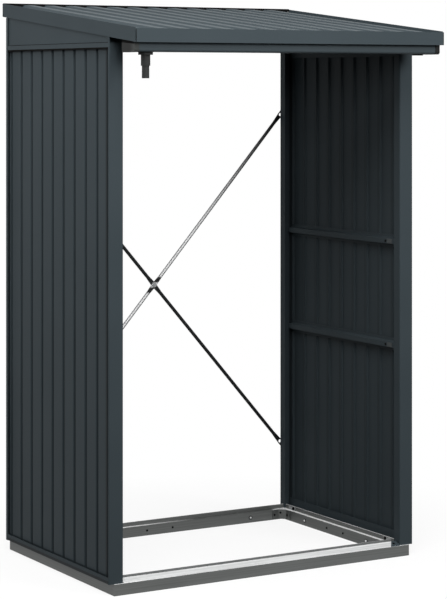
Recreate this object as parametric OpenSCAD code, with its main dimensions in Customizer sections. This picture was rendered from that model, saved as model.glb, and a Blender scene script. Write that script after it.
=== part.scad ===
// Open log store of painted sheet steel: two ribbed side walls on a floor frame,
// a lean-to roof falling to the front, a gutter under its front edge, a crossed brace at the back.
// Units are millimetres. X runs to the right seen from the front, Y to the rear, Z up.

/* [Overall] */
// Width over the two side walls
store_w = 1232; // [1000:1:1600]
// Depth over the corner posts, front to rear
store_d = 812; // [640:1:1100]
// Height of the roof's rear edge
store_h = 1990; // [1750:1:2250]
// Drop of the roof from its rear edge to its front edge
roof_fall = 108; // [60:1:150]
// Reach of the roof ahead of the front posts
front_overhang = 190; // [160:1:260]
// Reach of the roof behind the rear posts
rear_overhang = 28; // [16:1:60]

/* [Sheet] */
// Thickness of folded posts, rails and fascias
fold_t = 1.5; // [1:0.1:2.5]
// Thickness of the ribbed wall and roof sheets
sheet_t = 1.2; // [0.8:0.1:2]
// Outside radius of the posts' folds beside the opening
fold_r = 7; // [3:0.5:12]
// Outside radius of the posts' outer edges
edge_r = 3; // [2:0.5:5]

/* [Floor frame] */
// Height of the frame rails
rail_h = 39; // [30:1:60]
// Width of the frame rails
rail_w = 48; // [40:1:70]
// Wall thickness of the frame rails
rail_t = 2.5; // [1.5:0.1:4]
// Width of the foot flanges inside the rails
rail_foot_w = 12; // [8:1:18]
// Set-in of the frame's sides from the walls' outer faces
frame_set_in = 18; // [8:1:30]
// Reach of the frame ahead of and behind the posts
frame_lip = 4; // [0:0.5:12]
// Height of the fin that locates the walls
fin_h = 15; // [8:1:25]
// Thickness of that fin
fin_t = 3.5; // [2:0.5:6]
// Distance of the fin from the rail's outer face
fin_set_in = 29; // [20:1:36]
// Leg length of the corner keys inside the rails
key_leg = 50; // [40:1:110]
// Reach of the gusset across the inside of a corner key
key_web = 24; // [10:1:36]
// Rise of the front sill's sloping face
sill_rise = 12.5; // [8:0.5:20]
// Run of the front sill's sloping face
sill_run = 27; // [16:1:34]
// Height of the upright lip behind the slope
sill_lip_h = 8; // [3:0.5:12]
// Wall thickness of the front sill
sill_t = 2; // [1.2:0.1:3]
// Length of the painted foot beside the right front post
foot_len = 41; // [20:1:70]
// Turn of the foot's end cut, seen from above
foot_deg = 36; // [0:1:45]

/* [Posts and walls] */
// Width of the posts seen from the front
post_w = 55; // [40:1:70]
// Depth of the posts' inner return
post_return = 38; // [24:1:60]
// Width of the stiffening lip at the back of the return
post_lip = 18; // [6:1:24]
// Width of a front post's flange on the outside of the wall
front_flange = 6; // [4:0.5:20]
// Width of a rear post's flange on the outside of the wall
rear_flange = 17; // [8:0.5:28]
// Width of the channels along a wall's bottom and top edges
channel_w = 26; // [22:1:34]
// Height of the walls' bottom rails outside
bottom_rail_h = 22; // [16:1:40]
// Height of the bottom rails' lip inside
bottom_rail_inside_h = 37; // [24:1:60]
// Height of the taper under the bottom rails' outer face
taper_h = 11; // [6:0.5:14]
// Height of the walls' top rails outside
top_rail_h = 19; // [12:1:40]
// Height of the walls' top rails inside
top_rail_inside_h = 38; // [20:1:60]
// Drop from the roof's front edge to the walls' top edge
wall_drop = 47; // [40:1:80]
// Set-back of the wall sheets behind the posts' outer faces
wall_set_in = 8; // [2:0.5:12]
// Spacing of the grooves in the wall sheets
groove_pitch = 84.9; // [50:0.1:140]
// Distance of the first groove from the front of the wall
groove_first = 20; // [16:0.5:40]
// Width of a groove at its mouth
groove_mouth = 20; // [12:0.5:30]
// Width of a groove at its floor
groove_floor = 10; // [4:0.5:16]
// Depth of the grooves
groove_depth = 7; // [4:0.5:12]
// Height of the lower inside rails, at mid face
lower_rail_z = 750; // [400:1:1000]
// Height of the upper inside rails, at mid face
upper_rail_z = 1126; // [1000:1:1500]
// Overall height of an inside rail
hat_h = 45; // [30:1:70]
// Height of an inside rail's raised face
hat_face = 15; // [8:1:30]
// Height of the slope at the face's two sides
hat_slope = 4; // [0:0.5:10]
// Projection of an inside rail from the sheet
hat_d = 21; // [8:1:24]
// Set-back of the plain gable panels behind the posts' outer faces
gable_set_in = 4; // [2:0.5:10]
// Gap between a gable panel and the top rail below it
gable_gap = 2; // [0:0.1:5]

/* [Roof] */
// Height of the fascias
fascia_h = 48; // [36:1:80]
// Width of the fascias' lower return
fascia_return = 18; // [10:1:19]
// Gap between a side fascia and the end fascias
fascia_gap = 3.5; // [1:0.5:8]
// Width of the ledge that carries the roof sheet
ledge_w = 14; // [8:1:24]
// Upstand of the side and rear fascias above the ribs
upstand = 2.5; // [1:0.5:14]
// Spacing of the roof ribs
roof_pitch = 86; // [50:0.5:140]
// Width of a rib's crest
crest_w = 36; // [16:1:70]
// Width of a rib's sloping side
rib_side_w = 8; // [2:0.5:16]
// Height of the roof ribs
rib_h = 8; // [4:0.5:16]
// Height of the beam between the rear posts
rear_beam_h = 90; // [50:1:120]
// Flange width of the two roof beams
beam_flange = 32; // [20:1:50]
// Set-back of the front beam behind the front posts' faces
front_beam_set_in = 35; // [20:1:36]

/* [Gutter] */
// Drop from the roof's front edge to the underside of the gutter
gutter_drop = 79; // [70:1:100]
// Set-back of the gutter behind the front fascia
gutter_set_back = 21; // [21:1:40]
// Depth of the gutter, front to rear
gutter_d = 84; // [60:1:110]
// Height of the gutter's front wall
gutter_front_h = 48; // [30:1:60]
// Outside radius of the gutter's lower edges
gutter_r = 8; // [4:0.5:14]
// Thickness of the gutter's end caps
cap_t = 1.5; // [1:0.1:2]
// Reach of the end caps' rims over the gutter
cap_rim_w = 18; // [8:1:30]
// Set-in of the gutter's ends from the roof's ends
gutter_set_in = 4; // [3:0.5:30]
// Distance of the outlets from the roof's ends
outlet_set_in = 69; // [50:1:160]
// Diameter of the outlet's flange
outlet_flange_dia = 48.5; // [40:0.5:60]
// Thickness of the outlet's flange
outlet_flange_h = 9.5; // [3:0.5:14]
// Diameter of the outlet's body
outlet_body_dia = 31; // [26:0.5:40]
// Length of the outlet's body
outlet_body_h = 36; // [20:1:60]
// Outside diameter of the outlet's spigot
spigot_dia = 24.5; // [22:0.5:30]
// Length of the outlet's spigot
spigot_h = 41; // [20:1:60]
// Bore of the outlet
outlet_bore = 19; // [10:0.5:21]
// Diameter of the blanking plug
plug_dia = 39; // [30:0.5:48]
// Thickness of the blanking plug
plug_h = 5; // [3:0.5:10]

/* [Brace] */
// Diameter of the brace rods
rod_dia = 13; // [6:0.5:14]
// Thickness of the rods' flattened parts
flat_t = 3; // [2:0.5:5]
// Drop from the roof's front edge to the braces' upper eyes
brace_drop = 306; // [150:1:500]
// Height of the braces' lower eyes
brace_foot_z = 295; // [150:1:500]
// Width of the paddles at the rod ends
paddle_w = 18.5; // [14:0.5:24]
// Length of the taper from rod to paddle
paddle_neck = 45; // [25:1:80]
// Diameter of the eye in each paddle
eye_hole = 12.5; // [6:0.5:13]
// Width of the rods' flattened middle
cross_w = 19; // [16:0.5:30]
// Length of the rods' flattened middle
cross_len = 76; // [40:1:120]
// Distance of the eyes behind the rear posts, past the posts' inner faces
eye_over = 2.3; // [0:0.1:10]
// Length of the paddles behind the rear posts
paddle_over = 26; // [20:1:36]
// Width of the packing plates behind the rear posts
bracket_w = 15; // [8:1:18]
// Height of the packing plates
bracket_h = 24; // [18:1:36]
// Diameter of the bolt where the rods cross
bolt_dia = 8; // [5:0.5:10]
// Diameter of that bolt's heads
bolt_head_dia = 15; // [12:0.5:18]
// Thickness of that bolt's heads
bolt_head_h = 3; // [2:0.5:6]

/* [Hidden] */
$fn = 48;
// overrun of every cut
over = 1;
// clearance between a pin and its hole, and between loose pieces
clear = 0.5;

roof_d = store_d + front_overhang + rear_overhang;
roof_front_y = -roof_d / 2;
roof_rear_y = roof_d / 2;
post_front_y = roof_front_y + front_overhang;
post_rear_y = post_front_y + store_d;
frame_front_y = post_front_y - frame_lip;
frame_rear_y = post_rear_y + frame_lip;
half_w = store_w / 2;
frame_half_w = half_w - frame_set_in;
slope = roof_fall / roof_d;
slope_deg = atan(slope);

roof_front_z = store_h - roof_fall;
wall_z = rail_h + bottom_rail_h;
wall_top = roof_front_z - wall_drop;
wall_top_z = wall_top - top_rail_h;
gutter_z = roof_front_z - gutter_drop;

// the fascias' inner faces, and the plane the wall sheets' outer flats lie in
fascia_x = half_w - fold_t;
skin_x = fascia_x - wall_set_in;
// the posts', channels' and gables' inner faces
post_in_x = half_w - post_w;
channel_in_x = half_w - channel_w;
// the taper under the bottom rails stays clear of the sheets
taper_w = wall_set_in - clear;
gable_in_x = half_w - gable_set_in - fold_t;
groove_side_deg = atan(2 * groove_depth / (groove_mouth - groove_floor));
groove_count = floor((store_d - groove_first - rear_flange) / groove_pitch) + 1;

// height of the fascias' top edge at a given depth
function roof_z(y) = roof_front_z + (y - roof_front_y) * slope;
// drop from the fascias' top edge to the underside of the roof sheet
sheet_drop = upstand + rib_h + sheet_t;
ledge_drop = sheet_drop + fold_t;

gutter_front_y = roof_front_y + gutter_set_back;
gutter_rear_y = gutter_front_y + gutter_d;
gutter_end_x = half_w - gutter_set_in;
outlet_x = half_w - outlet_set_in;
outlet_y = (gutter_front_y + gutter_rear_y) / 2;
gutter_hole = outlet_bore + 2 * clear;

brace_y = post_rear_y + flat_t;
brace_top_z = roof_front_z - brace_drop;
eye_x = post_in_x + eye_over;
brace_run = 2 * eye_x;
brace_rise = brace_top_z - brace_foot_z;
brace_len = sqrt(brace_run * brace_run + brace_rise * brace_rise);
brace_deg = atan(brace_rise / brace_run);
brace_mid_z = (brace_top_z + brace_foot_z) / 2;
// the paddles run on past their eyes, and are cut off upright behind the posts
paddle_x = post_in_x + paddle_over;
paddle_reach = (paddle_x - eye_x + paddle_w) / cos(brace_deg);
// the packing plates start where the posts' backs are flat, level with the paddles
bracket_x = post_in_x + fold_r;
bracket_lift = (bracket_x + bracket_w / 2 - eye_x) * tan(brace_deg);

paint = [0.25, 0.28, 0.30];
zinc = [0.45, 0.46, 0.46];
bright = [0.82, 0.83, 0.83];
black = [0.12, 0.12, 0.12];

// a profile drawn as depth and height, run along X
module along_x(x0, x1)
    translate([x0, 0, 0])
        rotate([90, 0, 90])
            linear_extrude(x1 - x0)
                children();

// a profile drawn as width and height, run along Y
module along_y(y0, y1)
    translate([0, y1, 0])
        rotate([90, 0, 0])
            linear_extrude(y1 - y0)
                children();

// open-bottomed rail section, drawn from its outer face inwards
module rail_section(fin)
    difference() {
        union() {
            square([rail_w, rail_h]);
            if (fin)
                translate([fin_set_in, 0])
                    square([fin_t, rail_h + fin_h]);
        }
        translate([rail_t, rail_t])
            square([rail_w - 2 * rail_t, rail_h - 2 * rail_t]);
        translate([rail_foot_w, -over])
            square([rail_w - 2 * rail_foot_w, rail_t + 2 * over]);
    }

// a side or end rail of the frame, its ends cut to the mitre
module mitre(from, to)
    translate([0, 0, -over])
        linear_extrude(rail_h + fin_h + 2 * over)
            polygon([[0, from], [rail_w, from + rail_w], [rail_w, to - rail_w], [0, to]]);

module side_rail(side)
    translate([side * frame_half_w, 0, 0])
        scale_side(-side)
            intersection() {
                along_y(frame_front_y, frame_rear_y)
                    rail_section(true);
                mitre(frame_front_y, frame_rear_y);
            }

module scale_side(side)
    mirror([side < 0 ? 1 : 0, 0, 0])
        children();

module end_rail(fin)
    intersection() {
        along_x(-frame_half_w, frame_half_w)
            rail_section(fin);
        translate([0, 0, -over])
            linear_extrude(rail_h + fin_h + 2 * over)
                polygon([
                    [-frame_half_w, 0], [frame_half_w, 0],
                    [frame_half_w - rail_w, rail_w], [-frame_half_w + rail_w, rail_w]
                ]);
    }

module front_rail()
    color(zinc)
        translate([0, frame_front_y, 0])
            end_rail(false);

module rear_rail()
    color(zinc)
        translate([0, frame_rear_y, 0])
            mirror([0, 1, 0])
                end_rail(true);

module left_rail()
    color(zinc)
        side_rail(-1);

module right_rail()
    color(zinc)
        side_rail(1);

// angle keys that join the mitred rails from inside, with a gusset across the corner
module corner_key(x, y, sx, sy)
    translate([x - sx * rail_w, y - sy * rail_w, 0])
        mirror([sx > 0 ? 1 : 0, 0, 0])
            mirror([0, sy > 0 ? 1 : 0, 0])
                translate([0, 0, rail_t])
                    linear_extrude(rail_h - rail_t)
                        polygon([
                            [0, 0], [key_leg, 0], [key_leg, rail_t], [key_web, rail_t],
                            [rail_t, key_web], [rail_t, key_leg], [0, key_leg]
                        ]);

module corner_keys()
    color(zinc)
        for (sx = [-1, 1])
            for (sy = [-1, 1])
                corner_key(sx * frame_half_w, sy < 0 ? frame_front_y : frame_rear_y, sx, sy);

// hollow threshold between the front posts: a sloping face with an upright lip behind it
sill_grade = sill_rise / sill_run;
sill_wall = sill_t * sqrt(1 + sill_grade * sill_grade);
sill_d = sill_run + sill_t;
module sill_section()
    difference() {
        polygon([
            [0, 0], [sill_run, sill_rise], [sill_run, sill_rise + sill_lip_h],
            [sill_d, sill_rise + sill_lip_h], [sill_d, 0]
        ]);
        polygon([
            [(sill_t + sill_wall) / sill_grade, sill_t], [sill_run, sill_rise - sill_wall], [sill_run, sill_t]
        ]);
    }

// ground the foot takes from the sill's right end, cut at a turn
module foot_zone()
    translate([post_in_x - foot_len, 0, -over])
        linear_extrude(sill_rise + sill_lip_h + 2 * over)
            polygon([
                [-over * tan(foot_deg), -over], [(sill_d + over) * tan(foot_deg), sill_d + over],
                [foot_len + over, sill_d + over], [foot_len + over, -over]
            ]);

module front_sill()
    color(bright)
        translate([0, frame_front_y + fold_t, rail_h])
            difference() {
                along_x(-post_in_x, post_in_x)
                    sill_section();
                foot_zone();
            }

module right_foot()
    color(paint)
        translate([0, frame_front_y + fold_t, rail_h])
            intersection() {
                along_x(post_in_x - foot_len - sill_d, post_in_x)
                    polygon([[0, 0], [sill_run, sill_rise], [sill_d, sill_rise], [sill_d, 0]]);
                foot_zone();
            }

// a plate's outline with its two front corners rounded, drawn in plan
module outline(w, d, left_r, right_r)
    union() {
        translate([left_r, 0])
            square([w - left_r - right_r, d]);
        translate([0, left_r])
            square([left_r, d - left_r]);
        translate([w - right_r, right_r])
            square([right_r, d - right_r]);
        translate([left_r, left_r])
            circle(r = left_r);
        translate([w - right_r, right_r])
            circle(r = right_r);
    }

// folded corner post, drawn in plan for the left front corner
module post_plan(flange)
    difference() {
        outline(post_w, post_return, edge_r, fold_r);
        translate([fold_t, fold_t])
            outline(post_w - 2 * fold_t, post_return - 2 * fold_t, edge_r - fold_t, fold_r - fold_t);
        translate([fold_t, post_return - fold_t - over])
            square([post_w - post_lip - fold_t, fold_t + 2 * over]);
        translate([-over, flange])
            square([fold_t + 2 * over, post_return]);
    }

// above its flange the post runs on behind the fascia
module post(flange, flange_top, top)
    union() {
        translate([0, 0, rail_h])
            linear_extrude(flange_top - rail_h)
                post_plan(flange);
        if (top > flange_top)
            translate([0, 0, flange_top])
                linear_extrude(top - flange_top)
                    intersection() {
                        post_plan(flange);
                        translate([edge_r, 0])
                            square([post_w, post_return]);
                    }
    }

module front_post(side)
    translate([side * half_w, post_front_y, 0])
        scale_side(-side)
            difference() {
                post(front_flange, roof_z(post_front_y) - fascia_h, 0);
                translate([edge_r, -over, wall_top])
                    cube([post_w, post_return + 2 * over, roof_fall + fascia_h]);
            }

module rear_post(side)
    translate([side * half_w, post_rear_y, 0])
        scale_side(-side)
            mirror([0, 1, 0])
                post(rear_flange, roof_z(post_rear_y - rear_flange) - fascia_h,
                    roof_z(post_rear_y - post_return) - ledge_drop);

module left_front_post()
    color(paint)
        front_post(-1);

module right_front_post()
    color(paint)
        front_post(1);

module left_rear_post()
    color(paint)
        rear_post(-1);

module right_rear_post()
    color(paint)
        rear_post(1);

// bottom rail of a wall: a channel seated on the frame, tapered in under its outer face
module bottom_rail(side)
    scale_side(side)
        along_y(post_front_y + front_flange, post_rear_y - rear_flange)
            polygon([
                [half_w - taper_w, rail_h], [half_w, rail_h + taper_h], [half_w, wall_z], [fascia_x, wall_z],
                [fascia_x, rail_h + taper_h], [fascia_x - taper_w, rail_h + fold_t],
                [channel_in_x + fold_t, rail_h + fold_t],
                [channel_in_x + fold_t, rail_h + bottom_rail_inside_h],
                [channel_in_x, rail_h + bottom_rail_inside_h], [channel_in_x, rail_h]
            ]);

module left_bottom_rail()
    color(paint)
        bottom_rail(-1);

module right_bottom_rail()
    color(paint)
        bottom_rail(1);

// ribbed wall sheet: a folded line of flats and grooves, and the same line set off by the sheet's thickness
function groove_y(k) = post_front_y + groove_first + k * groove_pitch;
function groove_points(k, shift, grow) = [
    [skin_x - shift, groove_y(k) - groove_mouth / 2 - grow],
    [skin_x - shift - groove_depth, groove_y(k) - groove_floor / 2 - grow],
    [skin_x - shift - groove_depth, groove_y(k) + groove_floor / 2 + grow],
    [skin_x - shift, groove_y(k) + groove_mouth / 2 + grow]
];
function wall_line(shift) = let (grow = shift * tan(groove_side_deg / 2)) concat(
    [[skin_x - shift, post_front_y + fold_t]],
    [for (k = [0 : groove_count - 1]) each groove_points(k, shift, grow)],
    [[skin_x - shift, post_rear_y - fold_t]]
);
function reversed(list) = [for (i = [len(list) - 1 : -1 : 0]) list[i]];

module wall_sheet(side)
    scale_side(side)
        translate([0, 0, rail_h + fold_t])
            linear_extrude(wall_top - fold_t - rail_h - fold_t)
                polygon(concat(wall_line(0), reversed(wall_line(sheet_t))));

module left_wall()
    color(paint)
        wall_sheet(-1);

module right_wall()
    color(paint)
        wall_sheet(1);

// top rail of a wall: a channel over the sheet's upper edge
module top_rail(side)
    scale_side(side)
        along_y(post_front_y + front_flange, post_rear_y - rear_flange)
            polygon([
                [half_w, wall_top], [half_w, wall_top_z],
                [fascia_x, wall_top_z], [fascia_x, wall_top - fold_t],
                [channel_in_x + fold_t, wall_top - fold_t],
                [channel_in_x + fold_t, wall_top - top_rail_inside_h],
                [channel_in_x, wall_top - top_rail_inside_h], [channel_in_x, wall_top]
            ]);

module left_top_rail()
    color(paint)
        top_rail(-1);

module right_top_rail()
    color(paint)
        top_rail(1);

// plain panel between a wall's top rail and the roof
module gable(side)
    scale_side(side)
        along_x(gable_in_x, gable_in_x + fold_t)
            polygon([
                [post_front_y + front_flange, wall_top + gable_gap],
                [post_rear_y - rear_flange, wall_top + gable_gap],
                [post_rear_y - rear_flange, roof_z(post_rear_y - rear_flange) - ledge_drop],
                [post_front_y + front_flange, roof_z(post_front_y + front_flange) - ledge_drop]
            ]);

module left_gable()
    color(paint)
        gable(-1);

module right_gable()
    color(paint)
        gable(1);

// hat-section rails inside the walls
module hat_section(z)
    let (x0 = skin_x - sheet_t - groove_depth, half = hat_h / 2, face = hat_face / 2, side = face + hat_slope)
        polygon([
            [x0, z - half], [x0, z - side], [x0 - hat_d + fold_t, z - face], [x0 - hat_d + fold_t, z + face],
            [x0, z + side], [x0, z + half], [x0 - fold_t, z + half], [x0 - fold_t, z + side + fold_t],
            [x0 - hat_d, z + face + fold_t], [x0 - hat_d, z - face - fold_t],
            [x0 - fold_t, z - side - fold_t], [x0 - fold_t, z - half]
        ]);

module inside_rails(side)
    scale_side(side)
        for (z = [lower_rail_z, upper_rail_z])
            along_y(post_front_y + post_return, post_rear_y - post_return)
                hat_section(z);

module left_inside_rails()
    color(paint)
        inside_rails(-1);

module right_inside_rails()
    color(paint)
        inside_rails(1);

// channel beams between the posts, their tops cut to the roof's slope
module beam(half_len, y0, y1, web, z0)
    along_x(-half_len, half_len)
        difference() {
            polygon([
                [y0, z0], [y1, z0], [y1, roof_z(y1) - sheet_drop], [y0, roof_z(y0) - sheet_drop]
            ]);
            polygon([
                [y0 + web, z0 + fold_t], [y1 + web - fold_t, z0 + fold_t],
                [y1 + web - fold_t, roof_z(y1 + web - fold_t) - sheet_drop - fold_t],
                [y0 + web, roof_z(y0 + web) - sheet_drop - fold_t]
            ]);
        }

module front_beam()
    color(paint)
        let (y0 = post_front_y + front_beam_set_in)
            beam(gable_in_x, y0, y0 + beam_flange, fold_t, wall_top);

module rear_beam()
    color(paint)
        beam(post_in_x, post_rear_y - fold_t - beam_flange, post_rear_y - fold_t, 0,
            roof_z(post_rear_y - beam_flange) - sheet_drop - rear_beam_h);

// roof sheet: trapezoid ribs running from rear to front, laid to the roof's slope
rib_count = floor((2 * (fascia_x - ledge_w) - crest_w) / roof_pitch / 2) * 2 + 1;
function rib_x(k) = (k - (rib_count - 1) / 2) * roof_pitch;
function roof_line(lift) = concat(
    [[-fascia_x, lift]],
    [for (k = [0 : rib_count - 1])
        each [
            [rib_x(k) - crest_w / 2 - rib_side_w, lift], [rib_x(k) - crest_w / 2, lift + rib_h],
            [rib_x(k) + crest_w / 2, lift + rib_h], [rib_x(k) + crest_w / 2 + rib_side_w, lift]
        ]
    ],
    [[fascia_x, lift]]
);

module roof_sheet()
    color(paint)
        intersection() {
            translate([0, roof_front_y, roof_z(roof_front_y) - sheet_drop])
                rotate([slope_deg, 0, 0])
                    along_y(-roof_d * slope, roof_d + roof_d * slope)
                        polygon(concat(roof_line(0), reversed(roof_line(sheet_t))));
            translate([-half_w, roof_front_y + fold_t, 0])
                cube([store_w, roof_d - 2 * fold_t, store_h + roof_fall]);
        }

// fascias round the roof: an outer face, a lower return and a ledge under the sheet
module front_fascia()
    color(paint)
        along_x(-half_w, half_w)
            let (y = roof_front_y, top = roof_z(roof_front_y), low = top - fascia_h, ledge = top - sheet_drop)
                polygon([
                    [y, low], [y + fascia_return, low],
                    [y + fascia_return, low + fold_t], [y + fold_t, low + fold_t],
                    [y + fold_t, ledge - fold_t], [y + ledge_w, ledge - fold_t + (ledge_w - fold_t) * slope],
                    [y + ledge_w, ledge + ledge_w * slope], [y + fold_t, ledge + fold_t * slope],
                    [y + fold_t, top - upstand], [y, top - upstand]
                ]);

module rear_fascia()
    color(paint)
        along_x(-half_w, half_w)
            let (y = roof_rear_y, top = roof_z(roof_rear_y), low = top - fascia_h, ledge = top - sheet_drop)
                polygon([
                    [y, low], [y - fascia_return, low],
                    [y - fascia_return, low + fold_t], [y - fold_t, low + fold_t],
                    [y - fold_t, ledge - fold_t - fold_t * slope],
                    [y - ledge_w, ledge - fold_t - ledge_w * slope],
                    [y - ledge_w, ledge - ledge_w * slope], [y - fold_t, ledge - fold_t * slope],
                    [y - fold_t, top], [y, top]
                ]);

module strip(x0, x1, y0, y1, drop0, drop1)
    along_x(x0, x1)
        polygon([
            [y0, roof_z(y0) - drop1], [y1, roof_z(y1) - drop1],
            [y1, roof_z(y1) - drop0], [y0, roof_z(y0) - drop0]
        ]);

module side_fascia(side)
    scale_side(side)
        let (y0 = roof_front_y + fold_t + fascia_gap, y1 = roof_rear_y - fold_t - fascia_gap)
            union() {
                strip(fascia_x, half_w, y0, y1, 0, fascia_h);
                strip(fascia_x - ledge_w, half_w, y0 + ledge_w, y1 - ledge_w, sheet_drop, ledge_drop);
            }

module left_fascia()
    color(paint)
        side_fascia(-1);

module right_fascia()
    color(paint)
        side_fascia(1);

// trough outline, drawn as depth and height with its lower edges rounded
module trough(d, h, r)
    union() {
        translate([r, 0])
            square([d - 2 * r, h]);
        translate([0, r])
            square([d, h - r]);
        for (y = [r, d - r])
            translate([y, r])
                circle(r = r);
    }

// gutter under the front edge, its rear wall carried up to the roof sheet
module gutter_section()
    difference() {
        union() {
            trough(gutter_d, gutter_front_h, gutter_r);
            polygon([
                [gutter_d - fold_t, gutter_r], [gutter_d, gutter_r],
                [gutter_d, roof_z(gutter_rear_y) - sheet_drop - gutter_z],
                [gutter_d - fold_t, roof_z(gutter_rear_y - fold_t) - sheet_drop - gutter_z]
            ]);
        }
        translate([fold_t, fold_t])
            trough(gutter_d - 2 * fold_t, gutter_drop, gutter_r - fold_t);
    }

module gutter()
    color(paint)
        difference() {
            along_x(-gutter_end_x + cap_t, gutter_end_x - cap_t)
                translate([gutter_front_y, gutter_z])
                    gutter_section();
            for (side = [-1, 1])
                translate([side * outlet_x, outlet_y, gutter_z - over])
                    cylinder(d = gutter_hole, h = fold_t + 2 * over);
        }

// moulded end caps with a rim round the gutter's outside
module cap_outline()
    translate([gutter_front_y - cap_t, gutter_z - cap_t])
        trough(gutter_d + 2 * cap_t, gutter_front_h + cap_t, gutter_r + cap_t);

module gutter_caps()
    color(black)
        for (side = [-1, 1])
            scale_side(side)
                union() {
                    along_x(gutter_end_x - cap_t, gutter_end_x)
                        cap_outline();
                    along_x(gutter_end_x - cap_rim_w, gutter_end_x)
                        difference() {
                            cap_outline();
                            translate([gutter_front_y, gutter_z])
                                trough(gutter_d, gutter_drop, gutter_r);
                        }
                }

module gutter_outlet()
    color(black)
        translate([-outlet_x, outlet_y, gutter_z])
            rotate_extrude()
                polygon([
                    [outlet_bore / 2, 0], [outlet_flange_dia / 2, 0],
                    [outlet_flange_dia / 2, -outlet_flange_h], [outlet_body_dia / 2, -outlet_flange_h],
                    [outlet_body_dia / 2, -outlet_flange_h - outlet_body_h],
                    [spigot_dia / 2, -outlet_flange_h - outlet_body_h],
                    [spigot_dia / 2, -outlet_flange_h - outlet_body_h - spigot_h],
                    [outlet_bore / 2, -outlet_flange_h - outlet_body_h - spigot_h]
                ]);

module gutter_plug()
    color(black)
        translate([outlet_x, outlet_y, gutter_z])
            rotate_extrude()
                polygon([
                    [0, -plug_h], [plug_dia / 2, -plug_h], [plug_dia / 2, 0], [outlet_bore / 2, 0],
                    [outlet_bore / 2, fold_t + plug_h], [0, fold_t + plug_h]
                ]);

// brace: a round rod with its ends flattened into drilled paddles and its middle flattened for the crossing
module brace_flats()
    difference() {
        union() {
            polygon([
                [-cross_len / 2, -rod_dia / 2], [0, -cross_w / 2], [cross_len / 2, -rod_dia / 2],
                [cross_len / 2, rod_dia / 2], [0, cross_w / 2], [-cross_len / 2, rod_dia / 2]
            ]);
            for (end = [-1, 1])
                mirror([end < 0 ? 1 : 0, 0])
                    translate([brace_len / 2, 0])
                        polygon([
                            [-paddle_neck, -rod_dia / 2], [0, -paddle_w / 2], [paddle_reach, -paddle_w / 2],
                            [paddle_reach, paddle_w / 2], [0, paddle_w / 2], [-paddle_neck, rod_dia / 2]
                        ]);
        }
        for (end = [-1, 1])
            translate([end * brace_len / 2, 0])
                circle(d = eye_hole);
        circle(d = bolt_dia + clear);
    }

module brace_rod()
    union() {
        linear_extrude(flat_t)
            brace_flats();
        for (end = [-1, 1])
            mirror([end < 0 ? 1 : 0, 0, 0])
                translate([cross_len / 2 - rod_dia, 0, flat_t / 2])
                    rotate([0, 90, 0])
                        cylinder(d = rod_dia, h = (brace_len - cross_len) / 2 - paddle_neck + 2 * rod_dia);
    }

module brace(turn, y)
    intersection() {
        translate([0, y, brace_mid_z])
            rotate([90, -turn * brace_deg, 0])
                brace_rod();
        translate([-paddle_x, y - store_d / 2, 0])
            cube([2 * paddle_x, store_d, store_h]);
    }

module rising_brace()
    color(zinc)
        brace(1, brace_y);

module falling_brace()
    color(zinc)
        brace(-1, brace_y + flat_t);

// plates on the rear posts' backs, behind the rising rod's paddles and in front of the falling rod's
module brace_bracket(side, z, y, up)
    scale_side(side)
        translate([bracket_x, y, z + up * bracket_lift - bracket_h / 2])
            cube([bracket_w, flat_t, bracket_h]);

module brace_brackets()
    color(paint) {
        brace_bracket(1, brace_top_z, brace_y, 1);
        brace_bracket(-1, brace_foot_z, brace_y, -1);
        brace_bracket(-1, brace_top_z, post_rear_y, 1);
        brace_bracket(1, brace_foot_z, post_rear_y, -1);
    }

// bolt where the rods cross, with a round head on each side
module brace_bolt()
    color(zinc)
        translate([0, brace_y - flat_t, brace_mid_z])
            rotate([-90, 0, 0])
                union() {
                    cylinder(d = bolt_dia, h = 2 * flat_t);
                    translate([0, 0, -bolt_head_h])
                        cylinder(d = bolt_head_dia, h = bolt_head_h);
                    translate([0, 0, 2 * flat_t])
                        cylinder(d = bolt_head_dia, h = bolt_head_h);
                }

front_rail();
rear_rail();
left_rail();
right_rail();
corner_keys();
front_sill();
right_foot();
left_front_post();
right_front_post();
left_rear_post();
right_rear_post();
left_bottom_rail();
right_bottom_rail();
left_wall();
right_wall();
left_top_rail();
right_top_rail();
left_gable();
right_gable();
left_inside_rails();
right_inside_rails();
front_beam();
rear_beam();
roof_sheet();
front_fascia();
rear_fascia();
left_fascia();
right_fascia();
gutter();
gutter_caps();
gutter_outlet();
gutter_plug();
rising_brace();
falling_brace();
brace_brackets();
brace_bolt();
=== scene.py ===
import math

import bmesh
import bpy
from mathutils import Matrix, Vector


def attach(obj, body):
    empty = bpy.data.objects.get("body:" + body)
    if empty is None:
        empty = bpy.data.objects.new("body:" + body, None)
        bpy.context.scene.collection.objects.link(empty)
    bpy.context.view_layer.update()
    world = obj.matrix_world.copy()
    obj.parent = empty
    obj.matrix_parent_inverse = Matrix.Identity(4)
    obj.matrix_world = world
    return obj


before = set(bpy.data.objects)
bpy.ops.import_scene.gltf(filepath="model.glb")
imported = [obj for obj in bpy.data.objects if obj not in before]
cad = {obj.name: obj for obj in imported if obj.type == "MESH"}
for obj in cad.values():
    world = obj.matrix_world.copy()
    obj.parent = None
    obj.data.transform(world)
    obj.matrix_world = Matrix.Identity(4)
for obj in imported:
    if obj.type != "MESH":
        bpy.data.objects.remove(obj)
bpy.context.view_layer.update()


# Floor frame: four aluminium extrusions, mitred at the corners and drawn together by angle keys.
# They are left as they come from the press: grey flanks with die lines along the length.
# Their top faces are painted bright, as painted light from above.
def linear(hex_code):
    parts = [int(hex_code[i:i + 2], 16) / 255 for i in (1, 3, 5)]
    return [c / 12.92 if c <= 0.04045 else ((c + 0.055) / 1.055) ** 2.4 for c in parts] + [1.0]


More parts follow.
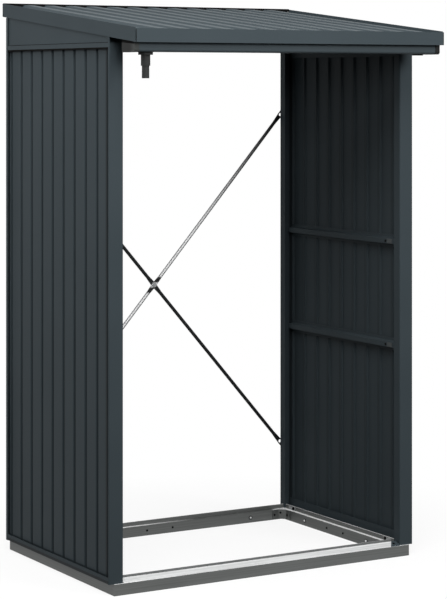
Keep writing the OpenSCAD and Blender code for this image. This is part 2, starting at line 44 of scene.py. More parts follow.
def add(tree, kind, values=None, links=None, **settings):
    made = tree.nodes.new(kind)
    for key, value in settings.items():
        setattr(made, key, value)
    for key, value in (values or {}).items():
        made.inputs[key].default_value = value
    for key, source in (links or {}).items():
        tree.links.new(source, made.inputs[key])
    return made


def new_finish(name, **sockets):
    made = bpy.data.materials.new(name)
    made.use_nodes = True
    shader = made.node_tree.nodes["Principled BSDF"]
    for key, value in sockets.items():
        shader.inputs[key.replace("_", " ")].default_value = value
    return made, made.node_tree, shader


def dress(names, finish):
    for name in names:
        cad[name].data.materials.clear()
        cad[name].data.materials.append(finish)


# Extruded aluminium: die lines about 1 mm apart, drawn 3 mm apart so that they show, and 0.3 m long.
# Faces that look up get a painted highlight, bright and not metallic; upright ones are a duller, more metallic
# grey.
# A stretch in painted shade, given by where it starts and ends along X, has no painted highlight on top, and
# from where it starts the flanks grow paler towards +X, as painted light.
DIE_LINES_PER_M, LINE_LENGTHS_PER_M = 330, 3
LINES_ALONG_X = (LINE_LENGTHS_PER_M, DIE_LINES_PER_M, DIE_LINES_PER_M)
LINES_ALONG_Y = (DIE_LINES_PER_M, LINE_LENGTHS_PER_M, DIE_LINES_PER_M)
LINE_SPREAD = (0.35, 0.65)
LINE_DEPTH, LINE_RELIEF = 0.0003, 0.15
UPRIGHT, LOOKING_UP = 0.4, 0.8
FLANK_METAL = 0.6
FLANK_LIGHT_END = 1.55


def extruded_aluminium(name, line_scale, flanks, lit_tops, rough, dull=None):
    made, tree, shader = new_finish(name, Roughness=rough)
    place = add(tree, "ShaderNodeTexCoord").outputs["Object"]
    stretch = add(tree, "ShaderNodeMapping", values={"Scale": line_scale}, links={"Vector": place})
    lines = add(tree, "ShaderNodeTexNoise", values={"Scale": 1.0, "Detail": 3.0},
                links={"Vector": stretch.outputs["Vector"]})
    spread = add(tree, "ShaderNodeMapRange", values={"From Min": LINE_SPREAD[0], "From Max": LINE_SPREAD[1]},
                 links={"Value": lines.outputs["Fac"]})
    flank, top = [
        add(tree, "ShaderNodeMixRGB", values={"Color1": linear(dark), "Color2": linear(light)},
            links={"Fac": spread.outputs["Result"]}).outputs["Color"]
        for dark, light in (flanks, lit_tops)]
    facing = add(tree, "ShaderNodeNewGeometry")
    parts = add(tree, "ShaderNodeSeparateXYZ", links={"Vector": facing.outputs["Normal"]})
    # Painted highlight: faces that look up take the lit top colour.
    up = add(tree, "ShaderNodeMapRange", values={"From Min": UPRIGHT, "From Max": LOOKING_UP},
             links={"Value": parts.outputs["Z"]}).outputs["Result"]
    if dull:
        (left_bright, left_dull), (right_dull, right_bright) = dull
        along = add(tree, "ShaderNodeSeparateXYZ", links={"Vector": place}).outputs["X"]
        left = add(tree, "ShaderNodeMapRange", links={"Value": along},
                   values={"From Min": left_bright, "From Max": left_dull, "To Min": 1.0, "To Max": 0.0})
        right = add(tree, "ShaderNodeMapRange", links={"Value": along},
                    values={"From Min": right_dull, "From Max": right_bright})
        bright = add(tree, "ShaderNodeMath", operation="MAXIMUM",
                     links={0: left.outputs["Result"], 1: right.outputs["Result"]})
        up = add(tree, "ShaderNodeMath", operation="MULTIPLY",
                 links={0: up, 1: bright.outputs["Value"]}).outputs["Value"]
        flank_light = add(tree, "ShaderNodeMapRange", links={"Value": along},
                    values={"From Min": left_dull, "From Max": right_bright, "To Min": 1.0, "To Max": FLANK_LIGHT_END})
        flank = add(tree, "ShaderNodeVectorMath", operation="SCALE",
                    links={0: flank, "Scale": flank_light.outputs["Result"]}).outputs["Vector"]
    colour = add(tree, "ShaderNodeMixRGB", links={"Fac": up, "Color1": flank, "Color2": top})
    metal = add(tree, "ShaderNodeMapRange", values={"To Min": FLANK_METAL, "To Max": 0.0}, links={"Value": up})
    bump = add(tree, "ShaderNodeBump", values={"Strength": LINE_RELIEF, "Distance": LINE_DEPTH},
               links={"Height": lines.outputs["Fac"]})
    tree.links.new(colour.outputs["Color"], shader.inputs["Base Color"])
    tree.links.new(metal.outputs["Result"], shader.inputs["Metallic"])
    tree.links.new(bump.outputs["Normal"], shader.inputs["Normal"])
    return made


MILL = (("#585a59", "#626463"), ("#f2f3f3", "#ffffff"))
MILL_ROUGH = 0.5
# The rear rail's painted shade: no highlight on its top between these X, and painted light on its flanks
# towards +X.
SHADED_TOP_STRETCH = ((-0.12, 0.16), (0.50, 0.52))
dress(("front_rail",), extruded_aluminium("mill_aluminium_front_rail", LINES_ALONG_X, *MILL, MILL_ROUGH))
dress(("rear_rail",), extruded_aluminium("mill_aluminium_rear_rail", LINES_ALONG_X, *MILL, MILL_ROUGH,
                                         dull=SHADED_TOP_STRETCH))
dress(("left_rail", "right_rail", "corner_keys"),
      extruded_aluminium("mill_aluminium_side_rails", LINES_ALONG_Y, *MILL, MILL_ROUGH))

# Threshold between the front posts: a hollow extrusion, pushed against the front rail and held from below.
# Its sloping face is brushed and a little glossier, and its painted highlight from above is greyer than the
# rails' tops.
BRUSHED = (("#5c5e5e", "#6c6e6e"), ("#b8b9b9", "#d4d5d5"))
BRUSHED_ROUGH = 0.45
dress(("front_sill",), extruded_aluminium("brushed_aluminium_sill", LINES_ALONG_X, *BRUSHED, BRUSHED_ROUGH))


# Frame fixings: zinc-plated pan-head screws over black washers in the rails, the washers' black painted shade
# round each head, black screws in the corner keys, at the sleeve in the middle of each rail and in the painted
# foot, and a black bolt through a plated strap at each end of the side rails' fins, black as painted shade of
# the holes there.
def turned(bm, place, axis, profile, steps=20):
    stand = Vector(axis).to_track_quat("Z", "Y").to_matrix().to_4x4()
    where = Matrix.Translation(place) @ stand
    rim = [bm.verts.new(where @ Vector((radius, 0, height))) for radius, height in profile]
    line = [bm.edges.new(pair) for pair in zip(rim, rim[1:])]
    bmesh.ops.spin(bm, geom=rim + line, cent=place, axis=Vector(axis).normalized(),
                   angle=2 * math.pi, steps=steps, use_merge=True)
    bmesh.ops.remove_doubles(bm, verts=bm.verts, dist=1e-6)


# The drive is a round recess, as deep as the head's upper half.
def pan_head(bm, place, axis, radius, height):
    turned(bm, place, axis, (
        (0, 0), (radius, 0), (radius, height * 0.45), (radius * 0.93, height * 0.8), (radius * 0.75, height),
        (radius * 0.45, height), (radius * 0.38, height * 0.45), (0, height * 0.45)))


def plate(bm, low, high, edge):
    size = Vector(high) - Vector(low)
    middle = (Vector(high) + Vector(low)) / 2
    where = Matrix.Translation(middle) @ Matrix.Diagonal(size).to_4x4()
    corners = set(bmesh.ops.create_cube(bm, size=1, matrix=where)["verts"])
    edges = [e for e in bm.edges if set(e.verts) <= corners]
    bmesh.ops.bevel(bm, geom=edges, offset=edge, segments=2, profile=0.5, affect="EDGES", material=-1)


def finish_piece(name, bm, finish):
    bmesh.ops.recalc_face_normals(bm, faces=bm.faces)
    mesh = bpy.data.meshes.new(name)
    bm.to_mesh(mesh)
    bm.free()
    piece = bpy.data.objects.new(name, mesh)
    bpy.context.scene.collection.objects.link(piece)
    mesh.materials.append(finish)
    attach(piece, "root")


def mottled(name, dark, light, per_metre, **sockets):
    made, tree, shader = new_finish(name, **sockets)
    place = add(tree, "ShaderNodeTexCoord")
    grain = add(tree, "ShaderNodeTexNoise", values={"Scale": per_metre, "Detail": 2.0},
                links={"Vector": place.outputs["Object"]})
    colour = add(tree, "ShaderNodeMixRGB", values={"Color1": linear(dark), "Color2": linear(light)},
                 links={"Fac": grain.outputs["Fac"]})
    tree.links.new(colour.outputs["Color"], shader.inputs["Base Color"])
    return made


# Plated and blackened steel: an even grey or black with a faint crystalline mottle about 4 mm across.
# Black oxide soaks up its oil and stays matt, so it hardly shines.
CRYSTALS_PER_M = 240


def plated_steel(name, dark, light, metal, rough, gloss=0.5):
    return mottled(name, dark, light, CRYSTALS_PER_M, Metallic=metal, Roughness=rough, Specular_IOR_Level=gloss)


zinc_plate = plated_steel("bright_zinc_plate", "#dfe1e2", "#f6f7f7", 0.3, 0.4)
dull_zinc = plated_steel("dull_zinc_plate", "#8c8e8f", "#a3a5a6", 0.3, 0.5)
# Near black and matt, it also serves as painted shade on the washers, the fin bolts and the clip screws.
black_oxide_and_shade = plated_steel("black_oxide_steel", "#050505", "#0b0b0b", 0.0, 0.6, gloss=0.05)
RAIL_IN_X = 0.550
FRAME_FRONT_IN, FRAME_REAR_IN = -0.281, 0.443
FRAME_MID_Y = 0.081
SCREW_Z = 0.0192
RAIL_SCREW_X, RAIL_SCREW_STEP_Y = 0.400, 0.208
SLEEVE_SCREW_STEP = 0.055
KEY_T = 0.0025
KEY_SCREW_X, KEY_SCREW_STEP_Y = 0.508, 0.330
GUSSET_SCREW_X, GUSSET_SCREW_IN, GUSSET_SCREW_Z = 0.5315, 0.0080, 0.0265
FIN_IN_X, FIN_MID_Z = 0.5655, 0.0465
FIN_BOLT_STEP_Y = 0.310
FIN_BOLT = ((0, 0), (0.0066, 0), (0.0066, 0.0030), (0.0050, 0.0046), (0, 0.0050))
STRAP_SHORT, STRAP_LONG, STRAP_HALF_H = 0.012, 0.036, 0.0055
SHEET_T, SHEET_EDGE = 0.0012, 0.0005
WASHER_R, WASHER_T = 0.0074, 0.0008
RAIL_HEAD, SLEEVE_HEAD, KEY_HEAD = (0.0042, 0.0026), (0.0038, 0.0022), (0.0040, 0.0022)
FOOT_SCREW, FOOT_SLOPE, FOOT_HEAD = (0.541, -0.314, 0.0453), (0, -0.42, 0.91), (0.0042, 0.0024)
heads = bmesh.new()
shade_washers = bmesh.new()
dark_heads = bmesh.new()
straps = bmesh.new()


def washered_screw(place, axis):
    turned(shade_washers, place, axis, ((0, 0), (WASHER_R, 0), (WASHER_R, WASHER_T), (0, WASHER_T)))
    pan_head(heads, Vector(place) + Vector(axis) * WASHER_T, axis, *RAIL_HEAD)


for side in (-1, 1):
    inward = (-side, 0, 0)
    for end in (-1, 1):
        across = (0, -end, 0)
        rail_y = FRAME_REAR_IN if end > 0 else FRAME_FRONT_IN
        washered_screw((side * RAIL_IN_X, FRAME_MID_Y + end * RAIL_SCREW_STEP_Y, SCREW_Z), inward)
        washered_screw((side * RAIL_SCREW_X, rail_y, SCREW_Z), across)
        sleeve_y = FRAME_MID_Y + end * SLEEVE_SCREW_STEP
        pan_head(dark_heads, (side * RAIL_IN_X, sleeve_y, SCREW_Z), inward, *SLEEVE_HEAD)
        pan_head(dark_heads, (side * SLEEVE_SCREW_STEP, rail_y, SCREW_Z), across, *SLEEVE_HEAD)
        key_x, key_y = side * (RAIL_IN_X - KEY_T), rail_y - end * KEY_T
        pan_head(dark_heads, (key_x, FRAME_MID_Y + end * KEY_SCREW_STEP_Y, SCREW_Z), inward, *KEY_HEAD)
        pan_head(dark_heads, (side * KEY_SCREW_X, key_y, SCREW_Z), across, *KEY_HEAD)
        gusset = (side * GUSSET_SCREW_X, rail_y - end * GUSSET_SCREW_IN, GUSSET_SCREW_Z)
        pan_head(dark_heads, gusset, Vector((-side, -end, 0)).normalized(), *KEY_HEAD)
        bolt_y = FRAME_MID_Y + end * FIN_BOLT_STEP_Y
        strap_x = sorted((side * FIN_IN_X, side * (FIN_IN_X - SHEET_T)))
        strap_y = sorted((bolt_y - end * STRAP_SHORT, bolt_y + end * STRAP_LONG))
        plate(straps, (strap_x[0], strap_y[0], FIN_MID_Z - STRAP_HALF_H),
              (strap_x[1], strap_y[1], FIN_MID_Z + STRAP_HALF_H), SHEET_EDGE)
        turned(dark_heads, (side * (FIN_IN_X - SHEET_T), bolt_y, FIN_MID_Z), inward, FIN_BOLT)
pan_head(dark_heads, FOOT_SCREW, FOOT_SLOPE, *FOOT_HEAD)
finish_piece("frame_screws", heads, zinc_plate)
finish_piece("frame_shade_washers", shade_washers, black_oxide_and_shade)
finish_piece("fin_straps", straps, dull_zinc)
finish_piece("dark_screws", dark_heads, black_oxide_and_shade)

# Posts, wall channels, ribbed sheets, gables, beams, roof, fascias and gutter: galvanised sheet steel,
# cold-rolled and folded, then powder-coated in anthracite, the gutter painted a little paler as painted light
# on its shaded front.
# The ribbed sheets are painted darker in their grooves, beside the front posts and at their foot in the bottom
# rails, as painted shade.
PAN_X, GROOVE_X = 0.6062, 0.6012
SHADE_OUTSIDE, SHADE_INSIDE, SHADE_BESIDE_POST = 0.52, 0.70, 0.38
CORNER_Y = (-0.2825, -0.2850)
FOOT_Z = (0.0648, 0.0628)
INWARD, OUTWARD = -0.05, 0.05


# Painted shade: a factor that darkens the sheets in the grooves, beside the front posts and at their foot.
def groove_shade(tree, place):
    spot = add(tree, "ShaderNodeSeparateXYZ", links={"Vector": place})
    facing = add(tree, "ShaderNodeNewGeometry")
    parts = add(tree, "ShaderNodeSeparateXYZ", links={"Vector": facing.outputs["Normal"]})
    outward = add(tree, "ShaderNodeMath", operation="MULTIPLY",
                  links={0: parts.outputs["X"], 1: spot.outputs["X"]})
    tone, corner_shade = [
        add(tree, "ShaderNodeMapRange", links={"Value": outward.outputs["Value"]},
            values={"From Min": INWARD, "From Max": OUTWARD,
                    "To Min": inside, "To Max": outside}).outputs["Result"]
        for inside, outside in ((SHADE_INSIDE, SHADE_OUTSIDE), (1.0, SHADE_BESIDE_POST))]
    from_middle = add(tree, "ShaderNodeMath", links={0: spot.outputs["X"]}, operation="ABSOLUTE")
    groove, corner, foot = [
        add(tree, "ShaderNodeMapRange", values={"From Min": clean, "From Max": dark, "To Min": 1.0},
            links={"Value": where, "To Max": film}).outputs["Result"]
        for where, (clean, dark), film in (
            (from_middle.outputs["Value"], (PAN_X, GROOVE_X), tone),
            (spot.outputs["Y"], CORNER_Y, corner_shade),
            (spot.outputs["Z"], FOOT_Z, tone))]
    edges = add(tree, "ShaderNodeMath", links={0: corner, 1: foot}, operation="MINIMUM")
    darkest = add(tree, "ShaderNodeMath", links={0: groove, 1: edges.outputs["Value"]}, operation="MINIMUM")
    return darkest.outputs["Value"]


# Powder coat: matt, with a fine orange-peel grain about 2 mm across, drawn 5 mm across so that it shows,
# and slow clouds of tone about 250 mm across.
PEEL_PER_M, CLOUDS_PER_M = 200, 4
PEEL_DEPTH, PEEL_RELIEF = 0.0004, 0.12
PEEL_SHADE, PEEL_ROUGH = (0.94, 1.06), (0.44, 0.58)
ANTHRACITE, LIT_GUTTER_ANTHRACITE = ("#343c40", "#394145"), ("#3b4347", "#40484c")


def powder_coated(name, tones, groove_shaded=False):
    made, tree, shader = new_finish(name, Specular_IOR_Level=0.05)
    place = add(tree, "ShaderNodeTexCoord").outputs["Object"]
    peel = add(tree, "ShaderNodeTexNoise", values={"Scale": PEEL_PER_M, "Detail": 2.0},
               links={"Vector": place}).outputs["Fac"]
    cloud = add(tree, "ShaderNodeTexNoise", values={"Scale": CLOUDS_PER_M, "Detail": 1.0},
                links={"Vector": place})
    tone = add(tree, "ShaderNodeMixRGB", values={"Color1": linear(tones[0]), "Color2": linear(tones[1])},
               links={"Fac": cloud.outputs["Fac"]})
    shade = add(tree, "ShaderNodeMapRange", values={"To Min": PEEL_SHADE[0], "To Max": PEEL_SHADE[1]},
                links={"Value": peel}).outputs["Result"]
    if groove_shaded:
        shade = add(tree, "ShaderNodeMath", operation="MULTIPLY",
                    links={0: shade, 1: groove_shade(tree, place)}).outputs["Value"]
    coat = add(tree, "ShaderNodeVectorMath", operation="SCALE",
               links={0: tone.outputs["Color"], "Scale": shade})
    rough = add(tree, "ShaderNodeMapRange", values={"To Min": PEEL_ROUGH[0], "To Max": PEEL_ROUGH[1]},
                links={"Value": peel})
    bump = add(tree, "ShaderNodeBump", values={"Strength": PEEL_RELIEF, "Distance": PEEL_DEPTH},
               links={"Height": peel})
    tree.links.new(coat.outputs["Vector"], shader.inputs["Base Color"])
    tree.links.new(rough.outputs["Result"], shader.inputs["Roughness"])
    tree.links.new(bump.outputs["Normal"], shader.inputs["Normal"])
    return made


dress(("right_foot", "left_front_post", "right_front_post", "left_rear_post", "right_rear_post",
       "left_bottom_rail", "right_bottom_rail", "left_top_rail", "right_top_rail", "left_gable", "right_gable",
       "left_inside_rails", "right_inside_rails", "front_beam", "rear_beam", "roof_sheet", "front_fascia",
       "rear_fascia", "left_fascia", "right_fascia", "brace_brackets"),
      powder_coated("anthracite_powder_coat", ANTHRACITE))
# The gutter's paler anthracite is painted light.
dress(("gutter",), powder_coated("anthracite_powder_coat_lit_gutter", LIT_GUTTER_ANTHRACITE))
dress(("left_wall", "right_wall"),
      powder_coated("anthracite_powder_coat_on_ribbed_sheet", ANTHRACITE, groove_shaded=True))

# Inside rails: a short clip is pushed over the front end of each rail's raised face,
# and a black screw behind it goes through the rail, its black painted shade of the hole.
# The clips are spring steel, dark grey and matt from tempering.
HAT_FACE_X, HAT_FACE_HALF = 0.5773, 0.0083
HAT_RAIL_Z = (0.750, 1.126)
CLIP_Y = (-0.252, -0.223)
CLIP_SCREW_Y, CLIP_HEAD = -0.212, (0.0045, 0.0025)
clips = bmesh.new()
clip_screws = bmesh.new()
for side in (-1, 1):
    clip_x = sorted((side * HAT_FACE_X, side * (HAT_FACE_X - SHEET_T)))
    for z in HAT_RAIL_Z:
        plate(clips, (clip_x[0], CLIP_Y[0], z - HAT_FACE_HALF), (clip_x[1], CLIP_Y[1], z + HAT_FACE_HALF),
              SHEET_EDGE)
        pan_head(clip_screws, (side * HAT_FACE_X, CLIP_SCREW_Y, z), (-side, 0, 0), *CLIP_HEAD)
spring_steel = plated_steel("dull_spring_steel", "#434748", "#4c5051", 0.0, 0.5, gloss=0.1)
finish_piece("rail_clips", clips, spring_steel)
finish_piece("clip_screws", clip_screws, black_oxide_and_shade)


# Seals: extruded rubber strips, pressed over the ribs along the rear fascia, into the joint between each gable
# and its top rail, over each top rail's lip, under each side fascia against the gutter's cap,
# and into the joint at each end of the front fascia. Except along the rear fascia, their black is painted shade
# of the gaps.
def strip(bm, outline, shift):
    near = bm.faces.new([bm.verts.new(corner) for corner in outline])
    run = bmesh.ops.extrude_face_region(bm, geom=[near])
    moved = [v for v in run["geom"] if isinstance(v, bmesh.types.BMVert)]
    bmesh.ops.translate(bm, verts=moved, vec=shift)


def bar(bm, side, wide, tall, start, run):
    corners = [(side * wide[i], start, tall[j]) for i, j in ((0, 0), (1, 0), (1, 1), (0, 1))]
    strip(bm, corners, (0, run, 0))


BEAD_Y, BEAD_Z, BEAD_HALF_LEN = 0.508, 1.9868, 0.6155
BEAD = ((-0.004, -0.004), (0.004, -0.004), (0.004, 0.0024), (0.002, 0.0045), (-0.002, 0.0045), (-0.004, 0.0024))
WALL_START, WALL_RUN = -0.319, 0.789
JOINT_X, JOINT_Z = (0.6095, 0.6130), (1.8351, 1.8369)
LIP_X, LIP_Z = (0.6148, 0.6166), (1.8140, 1.8198)
CAP_X, CAP_SEAL_T = 0.6120, 0.0006
CAP_SHADE_STRIP = ((-0.4950, 1.8285), (-0.4090, 1.8345), (-0.4090, 1.8460), (-0.4950, 1.8370))
END_X, END_Z = (0.6138, 0.6156), (1.8345, 1.8770)
END_FACE_Y, END_PROUD = -0.5150, 0.0003
seals_and_shade = bmesh.new()
strip(seals_and_shade, [(-BEAD_HALF_LEN, BEAD_Y + y, BEAD_Z + z) for y, z in BEAD], (2 * BEAD_HALF_LEN, 0, 0))
for side in (-1, 1):
    bar(seals_and_shade, side, JOINT_X, JOINT_Z, WALL_START, WALL_RUN)
    bar(seals_and_shade, side, LIP_X, LIP_Z, WALL_START, WALL_RUN)
    strip(seals_and_shade, [(side * CAP_X, y, z) for y, z in CAP_SHADE_STRIP], (side * CAP_SEAL_T, 0, 0))
    bar(seals_and_shade, side, END_X, END_Z, END_FACE_Y, -END_PROUD)
# Extruded rubber: black and dull, with a faint bloom in patches about 11 mm across.
BLOOM_PER_M = 90
black_rubber = mottled("extruded_rubber", "#0a0a0a", "#161616", BLOOM_PER_M,
                       Roughness=0.8, Specular_IOR_Level=0.02)
finish_piece("rubber_seals_and_shade", seals_and_shade, black_rubber)

# Skirts: a strip of soft grey PVC on the lower half of each bottom rail, darker than the paint above it,
# as painted shade on the rail's lower half. It is dull, with the same faint bloom.
SKIRT_X, SKIRT_Z = (0.6155, 0.6168), (0.0405, 0.0500)
shade_skirts = bmesh.new()
for side in (-1, 1):
    bar(shade_skirts, side, SKIRT_X, SKIRT_Z, WALL_START, WALL_RUN)
soft_pvc = mottled("extruded_soft_pvc", "#292c2e", "#313436", BLOOM_PER_M,
                   Roughness=0.7, Specular_IOR_Level=0.1)
finish_piece("rail_shade_skirts", shade_skirts, soft_pvc)

# Gutter fittings: end caps, stepped outlet and blanking plug, injection-moulded in black polypropylene.
# The moulding has a fine spark-eroded grain under 1 mm, drawn 3 mm across so that it shows.
# The left cap is coloured a lighter grey towards its front corner.
SPARKS_PER_M = 330
SPARK_DEPTH, SPARK_RELIEF = 0.0004, 0.2
LEFT_HALF_X, CORNER_GREY_Y = (0.1, -0.1), (-0.464, -0.496)


def moulded_plastic(name, dark, light, corner_grey=None):
    made, tree, shader = new_finish(name, Roughness=0.5, Specular_IOR_Level=0.1)
    place = add(tree, "ShaderNodeTexCoord").outputs["Object"]
    spark = add(tree, "ShaderNodeTexNoise", values={"Scale": SPARKS_PER_M, "Detail": 3.0},
                links={"Vector": place}).outputs["Fac"]
    colour = add(tree, "ShaderNodeMixRGB", values={"Color1": linear(dark), "Color2": linear(light)},
                 links={"Fac": spark})
    if corner_grey:
        spot = add(tree, "ShaderNodeSeparateXYZ", links={"Vector": place})
        left = add(tree, "ShaderNodeMapRange",
                   values={"From Min": LEFT_HALF_X[0], "From Max": LEFT_HALF_X[1]},
                   links={"Value": spot.outputs["X"]})
        corner = add(tree, "ShaderNodeMapRange",
                     values={"From Min": CORNER_GREY_Y[0], "From Max": CORNER_GREY_Y[1]},
                     links={"Value": spot.outputs["Y"], "To Max": left.outputs["Result"]})
        colour = add(tree, "ShaderNodeMixRGB", values={"Color2": linear(corner_grey)},
                     links={"Fac": corner.outputs["Result"], "Color1": colour.outputs["Color"]})
    bump = add(tree, "ShaderNodeBump", values={"Strength": SPARK_RELIEF, "Distance": SPARK_DEPTH},
               links={"Height": spark})
    tree.links.new(colour.outputs["Color"], shader.inputs["Base Color"])
    tree.links.new(bump.outputs["Normal"], shader.inputs["Normal"])
    return made


dress(("gutter_caps",), moulded_plastic("moulded_polypropylene", "#131414", "#1d1e1e", "#3a3c3b"))
# The outlet's lighter grey is a painted reflection of the bright surround on its tube.
dress(("gutter_outlet",), moulded_plastic("moulded_outlet", "#272828", "#303131"))
dress(("gutter_plug",), moulded_plastic("moulded_plug", "#060707", "#101112"))

# Crossed brace: round steel rods, dark-passivated over zinc, flattened at the ends and in the middle.
# The rod that rises to the right is painted pale, as painted reflection, except at the crossing and towards the
# top.
# The highlight that the photo shows along it is painted: one band to the front left, one to the rear right.
CROSS_Z = 0.9355
CROSS_DARK_FROM, CROSS_DARK_TO = (0.006, 0.012), (0.026, 0.032)
TOP_DARK_Z = (1.12, 1.58)
HIGHLIGHT_SIDE = (-0.348, -0.887, 0.303)
HIGHLIGHT_BAND = (0.80, 0.95)
REFLECTION_GREY, HIGHLIGHT_WHITE, PASSIVATED = "#86888a", "#ffffff", "#1c1d1d"
rod_dark = plated_steel("passivated_rod", PASSIVATED, "#2b2d2e", 0.0, 0.6, gloss=0.1)
# Painted reflection: pale grey sides and a white painted highlight band, fading to the dark colour at the
# crossing and towards the top.
rod_lit, tree, shader = new_finish("rod_with_painted_reflection", Roughness=0.5, Specular_IOR_Level=0.15)
place = add(tree, "ShaderNodeTexCoord")
height = add(tree, "ShaderNodeSeparateXYZ", links={"Vector": place.outputs["Object"]}).outputs["Z"]
top_dark = add(tree, "ShaderNodeMapRange", values={"From Min": TOP_DARK_Z[0], "From Max": TOP_DARK_Z[1]},
               links={"Value": height}, interpolation_type="SMOOTHSTEP")
from_cross = add(tree, "ShaderNodeMath", values={1: CROSS_Z}, links={0: height}, operation="SUBTRACT")
distance = add(tree, "ShaderNodeMath", links={0: from_cross.outputs["Value"]}, operation="ABSOLUTE")
start = add(tree, "ShaderNodeMapRange", links={"Value": distance.outputs["Value"]},
            values={"From Min": CROSS_DARK_FROM[0], "From Max": CROSS_DARK_FROM[1]})
end = add(tree, "ShaderNodeMapRange", links={"Value": distance.outputs["Value"]},
          values={"From Min": CROSS_DARK_TO[0], "From Max": CROSS_DARK_TO[1], "To Min": 1.0, "To Max": 0.0})
cross_dark = add(tree, "ShaderNodeMath", operation="MULTIPLY",
                 links={0: start.outputs["Result"], 1: end.outputs["Result"]})
dark = add(tree, "ShaderNodeMath", operation="MAXIMUM",
           links={0: top_dark.outputs["Result"], 1: cross_dark.outputs["Value"]})
facing = add(tree, "ShaderNodeNewGeometry")
front = add(tree, "ShaderNodeVectorMath", operation="DOT_PRODUCT", values={1: HIGHLIGHT_SIDE},
            links={0: facing.outputs["Normal"]})
front_or_rear = add(tree, "ShaderNodeMath", links={0: front.outputs["Value"]}, operation="ABSOLUTE")
band = add(tree, "ShaderNodeMapRange", values={"From Min": HIGHLIGHT_BAND[0], "From Max": HIGHLIGHT_BAND[1]},
           links={"Value": front_or_rear.outputs["Value"]})
painted_reflection = add(tree, "ShaderNodeMixRGB", values={"Color1": linear(REFLECTION_GREY), "Color2": linear(HIGHLIGHT_WHITE)},
              links={"Fac": band.outputs["Result"]})
colour = add(tree, "ShaderNodeMixRGB", values={"Color2": linear(PASSIVATED)},
             links={"Fac": dark.outputs["Value"], "Color1": painted_reflection.outputs["Color"]})
tree.links.new(colour.outputs["Color"], shader.inputs["Base Color"])
dress(("falling_brace",), rod_dark)
dress(("rising_brace",), rod_lit)
dress(("brace_bolt",), dull_zinc)

# Crossing nut: a plain hexagon nut, passivated like the dark rod, closes the bolt behind the two rods.
# The bolt's end stands out of it.
NUT_Y = 0.496
NUT = ((0, 0), (0.0072, 0), (0.0074, 0.0006), (0.0074, 0.0050), (0.0068, 0.0056), (0.0042, 0.0056),
       (0.0042, 0.0080), (0.0036, 0.0086), (0, 0.0086))
nuts = bmesh.new()
turned(nuts, (0, NUT_Y, CROSS_Z), (0, 1, 0), NUT, steps=6)
finish_piece("brace_nut", nuts, rod_dark)


# Stage: a pale floor that fades into the white background within two metres of the object.
# Seen directly or in a reflection it is white with a faint shadow, and it sends little light back up.
def seen_directly(tree):
    path = add(tree, "ShaderNodeLightPath")
    mirror_rays = add(tree, "ShaderNodeMath", operation="MAXIMUM",
                      links={0: path.outputs["Is Glossy Ray"], 1: path.outputs["Is Transmission Ray"]})
    direct = add(tree, "ShaderNodeMath", operation="MAXIMUM",
                 links={0: path.outputs["Is Camera Ray"], 1: mirror_rays.outputs["Value"]})
    return direct.outputs["Value"]


FLOOR_HALF = 20
FADE_REACH = (0.7, 1.6)
FADE_NEAR = 0.86
WHITE = (1, 1, 1, 1)
mesh = bpy.data.meshes.new("floor")
bm = bmesh.new()
bmesh.ops.create_grid(bm, x_segments=1, y_segments=1, size=FLOOR_HALF)
bm.to_mesh(mesh)
bm.free()
floor = bpy.data.objects.new("floor", mesh)
bpy.context.scene.collection.objects.link(floor)
white_floor, tree, shader = new_finish("white_floor", Base_Color=linear("#f2f2f2"), Roughness=0.9)
place = add(tree, "ShaderNodeTexCoord")
reach = add(tree, "ShaderNodeVectorMath", links={0: place.outputs["Object"]}, operation="LENGTH")
fade = add(tree, "ShaderNodeMapRange", links={"Value": reach.outputs["Value"]},
           values={"From Min": FADE_REACH[0], "From Max": FADE_REACH[1], "To Min": FADE_NEAR, "To Max": 1.0})
glow = add(tree, "ShaderNodeEmission", values={"Color": WHITE, "Strength": 1.0})
seen = add(tree, "ShaderNodeMixShader",
           links={0: fade.outputs["Result"], 1: shader.outputs["BSDF"], 2: glow.outputs["Emission"]})
dull = add(tree, "ShaderNodeBsdfDiffuse", values={"Color": linear("#303030")})
both = add(tree, "ShaderNodeMixShader",
           links={0: seen_directly(tree), 1: dull.outputs["BSDF"], 2: seen.outputs["Shader"]})
tree.links.new(both.outputs["Shader"], tree.nodes["Material Output"].inputs["Surface"])
floor.data.materials.append(white_floor)

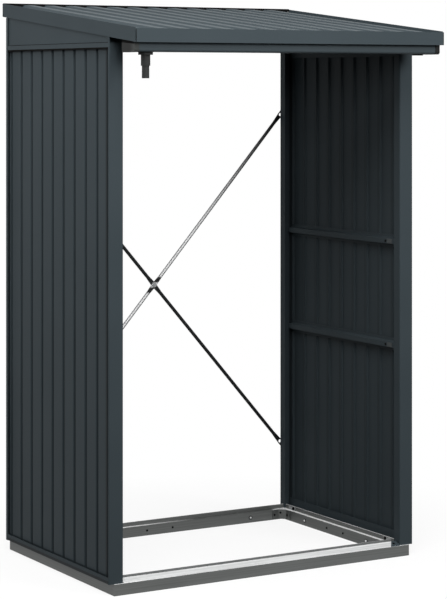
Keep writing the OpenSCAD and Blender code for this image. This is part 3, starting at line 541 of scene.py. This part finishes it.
# Light: soft boxes in front, above and at the left, in a white surround.
# The surround shows white to the camera and in reflections, and lights the object only faintly.
AMBIENT = 0.11
world = bpy.data.worlds.new("studio")
bpy.context.scene.world = world
world.use_nodes = True
back = world.node_tree.nodes["Background"]
back.inputs["Color"].default_value = WHITE
strength = add(world.node_tree, "ShaderNodeMapRange", values={"To Min": AMBIENT, "To Max": 1.0},
               links={"Value": seen_directly(world.node_tree)})
world.node_tree.links.new(strength.outputs["Result"], back.inputs["Strength"])


def soft_box(name, spot, aim, size, watts):
    lamp = bpy.data.lights.new(name, "AREA")
    lamp.energy = watts
    lamp.size = size
    box = bpy.data.objects.new(name, lamp)
    box.location = spot
    box.rotation_euler = (Vector(aim) - Vector(spot)).to_track_quat("-Z", "Y").to_euler()
    bpy.context.scene.collection.objects.link(box)


soft_box("front_box", (-1.4, -2.2, 4.2), (0, -0.3, 1.4), 2.0, 118)
soft_box("right_box", (1.8, -4.2, 3.2), (0, -0.3, 1.3), 1.5, 130)
soft_box("fill_box", (-1.9, -3.7, 2.6), (0.5, 0.4, 0.9), 1.2, 48)
soft_box("side_box", (-2.9, 0.3, 2.6), (-0.6, 0.1, 1.3), 1.6, 36)
soft_box("top_box", (-0.1, -0.6, 5.6), (-0.1, -0.6, 0), 5.0, 132)

# Camera: level, with its axis lowered by lens shift, so that uprights stay upright.
# The picture is 599 pixels high, and the lens and the horizon are given in those pixels.
PICTURE_H = 599
LENS_PX = 2114.13
HORIZON_PX = 81.29
CAMERA_SPOT = (-3.8505, -6.5417, 1.7067)
CAMERA_TURN = 30.59
shot = bpy.data.cameras.new("camera")
shot.sensor_width = 36
shot.lens = LENS_PX / PICTURE_H * shot.sensor_width
shot.shift_y = -(PICTURE_H / 2 - HORIZON_PX) / PICTURE_H
shot.clip_end = 100
camera = bpy.data.objects.new("camera", shot)
camera.location = CAMERA_SPOT
camera.rotation_euler = (math.pi / 2, 0, -math.radians(CAMERA_TURN))
bpy.context.scene.collection.objects.link(camera)
bpy.context.scene.camera = camera
bpy.context.scene.view_settings.view_transform = "Standard"
